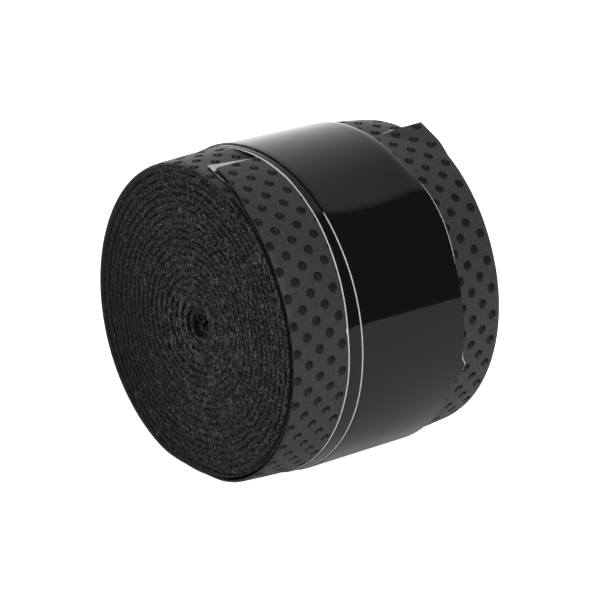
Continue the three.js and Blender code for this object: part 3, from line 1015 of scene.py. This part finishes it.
def add_floor():
    """A pale floor, lit more behind the roll."""
    bpy.ops.mesh.primitive_plane_add(size=FLOOR_SIZE, location=(FLOOR_EDGE - FLOOR_SIZE / 2, 0, 0))
    floor = bpy.context.object
    floor.name = "floor"
    paint = Nodes("floor", Base_Color=(0.85, 0.85, 0.85, 1), Roughness=0.9)
    sight = paint.add("ShaderNodeLightPath")
    place = paint.add("ShaderNodeNewGeometry")
    away = paint.add("ShaderNodeVectorMath", operation="DOT_PRODUCT")
    away.inputs[1].default_value = FLOOR_AWAY
    paint.link(place.outputs["Position"], away.inputs[0])
    glow = rising(paint.tree, away.outputs["Value"], FLOOR_RISE, FLOOR_GLOW)
    strength = paint.add("ShaderNodeMix")
    strength.inputs["B"].default_value = FLOOR_TO_CAMERA
    paint.link(glow, strength.inputs["A"])
    white = paint.add("ShaderNodeEmission")
    total = paint.add("ShaderNodeAddShader")
    paint.link(sight.outputs["Is Camera Ray"], strength.inputs["Factor"])
    paint.link(strength.outputs["Result"], white.inputs["Strength"])
    paint.link(paint.shader.outputs[0], total.inputs[0])
    paint.link(white.outputs[0], total.inputs[1])
    paint.link(total.outputs[0], paint.tree.nodes["Material Output"].inputs["Surface"])
    floor.data.materials.append(paint.material)


def add_world():
    """A room that is white to the camera, and lights the roll from behind and above."""
    world = bpy.data.worlds.new("studio")
    world.use_nodes = True
    bpy.context.scene.world = world
    tree = world.node_tree

    def math_node(operation, first, second):
        """What an operation makes of two values, each a number or another node's."""
        node = tree.nodes.new("ShaderNodeMath")
        node.operation = operation
        for socket, value in zip(node.inputs, (first, second)):
            if isinstance(value, (int, float)):
                socket.default_value = value
            else:
                tree.links.new(value, socket)
        return node.outputs[0]

    place = tree.nodes.new("ShaderNodeTexCoord")
    axes = tree.nodes.new("ShaderNodeSeparateXYZ")
    tree.links.new(place.outputs["Generated"], axes.inputs[0])
    x, y, z = axes.outputs
    height_light = math_node("MULTIPLY", z, -LIGHT_FALL)
    light = math_node("MAXIMUM", math_node("ADD", height_light, HORIZON_LIGHT), ZENITH_LIGHT)
    slanting = math_node("SUBTRACT", math_node("MULTIPLY", z, LIGHT_SLANT), x)
    edge = rising(tree, slanting, LIGHT_EDGE)
    front = rising(tree, y, LIGHT_FRONT)
    lit = math_node("MULTIPLY", math_node("MULTIPLY", light, edge), front)
    total = math_node("ADD", lit, DIM)
    sight = tree.nodes.new("ShaderNodeLightPath")
    mix = tree.nodes.new("ShaderNodeMix")
    tree.links.new(sight.outputs["Is Camera Ray"], mix.inputs["Factor"])
    tree.links.new(total, mix.inputs["A"])
    mix.inputs["B"].default_value = 1
    tree.links.new(mix.outputs["Result"], tree.nodes["Background"].inputs["Strength"])
    tree.nodes["Background"].inputs["Color"].default_value = (1, 1, 1, 1)


KEY_CENTRE = (0.67, -0.31, 0.52)  # in metres, as its size is
KEY_FACING = (-0.74, 0.35, -0.57)
KEY_SIZE = 0.5
KEY_BRIGHTNESS = 6


def add_key_light():
    """A square soft light, to the right of the camera and above it."""
    data = bpy.data.lights.new("key", "AREA")
    data.shape = "RECTANGLE"
    data.size = data.size_y = KEY_SIZE
    data.energy = KEY_BRIGHTNESS * math.pi * KEY_SIZE * KEY_SIZE
    lamp = bpy.data.objects.new("key", data)
    lamp.location = KEY_CENTRE
    lamp.rotation_mode = "QUATERNION"
    lamp.rotation_quaternion = Vector(KEY_FACING).to_track_quat("-Z", "Y")
    lamp.visible_camera = False
    bpy.context.scene.collection.objects.link(lamp)


CAMERA_AZIMUTH = math.radians(51.842)
CAMERA_ELEVATION = math.radians(19.98)
CAMERA_DISTANCE = 262.9
CAMERA_LENS = 158.6
CAMERA_SENSOR = 36
CAMERA_SHIFT = (0.0066, -0.0055)


def add_camera():
    """A long lens from the -Y, +X side, a little above the roll."""
    data = bpy.data.cameras.new("camera")
    data.lens = CAMERA_LENS
    data.sensor_width = CAMERA_SENSOR
    data.shift_x, data.shift_y = CAMERA_SHIFT
    data.clip_start = 0.01
    camera = bpy.data.objects.new("camera", data)
    back = Vector((
        math.sin(CAMERA_AZIMUTH) * math.cos(CAMERA_ELEVATION),
        -math.cos(CAMERA_AZIMUTH) * math.cos(CAMERA_ELEVATION),
        math.sin(CAMERA_ELEVATION),
    ))
    camera.location = (back * CAMERA_DISTANCE + Vector((0, 0, AXIS_HEIGHT))) * MM
    camera.rotation_mode = "QUATERNION"
    camera.rotation_quaternion = (-back).to_track_quat("-Z", "Y")
    bpy.context.scene.collection.objects.link(camera)
    bpy.context.scene.camera = camera


# ---- assembly

bpy.context.scene.view_settings.view_transform = "Standard"
add_floor()
add_world()
add_key_light()
add_camera()

skin = skin_material()
felt = felt_material()
fibre = fibre_material()
adhesive = paper_material("adhesive", (0.6, 0.6, 0.57), (0.5, 0.5, 0.47))
liner = paper_material("liner", (0.74, 0.74, 0.73), (0.6, 0.6, 0.59))
backing = paper_material("backing", (0.95, 0.95, 0.95), (0.9, 0.9, 0.9))

outer_skin, corner_skin = build_outer_skin(skin)
build_inner_skin(skin)
wound_felt = build_wound_felt(felt)
corner_felt = build_corner_felt(felt)
patch_adhesive, corner_adhesive = build_patch(
    "patch_adhesive", ADHESIVE_TOP, ADHESIVE_BOTTOM, False, adhesive, "adhesive"
)
patch_liner, corner_liner = build_patch("patch_liner", LINER_TOP, LINER_BOTTOM, True, liner, "liner")
band_film, band_backing = build_band(film_material(), backing)
build_fibres("felt_fibres_near", -1, 7000, 21, fibre)
build_fibres("felt_fibres_far", 1, 5000, 22, fibre)

stands_for = (
    (outer_skin, "tape_skin"), (wound_felt, "tape_felt"), (patch_adhesive, "start_adhesive"),
    (patch_liner, "start_liner"), (corner_skin, "tab_skin"), (corner_felt, "tab_felt"),
    (corner_adhesive, "tab_adhesive"), (corner_liner, "tab_liner"), (band_film, "band_film"),
    (band_backing, "band_backing"),
)
for piece, node in stands_for:
    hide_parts(node)
for piece in (corner_skin, corner_felt, corner_adhesive, corner_liner):
    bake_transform(piece)
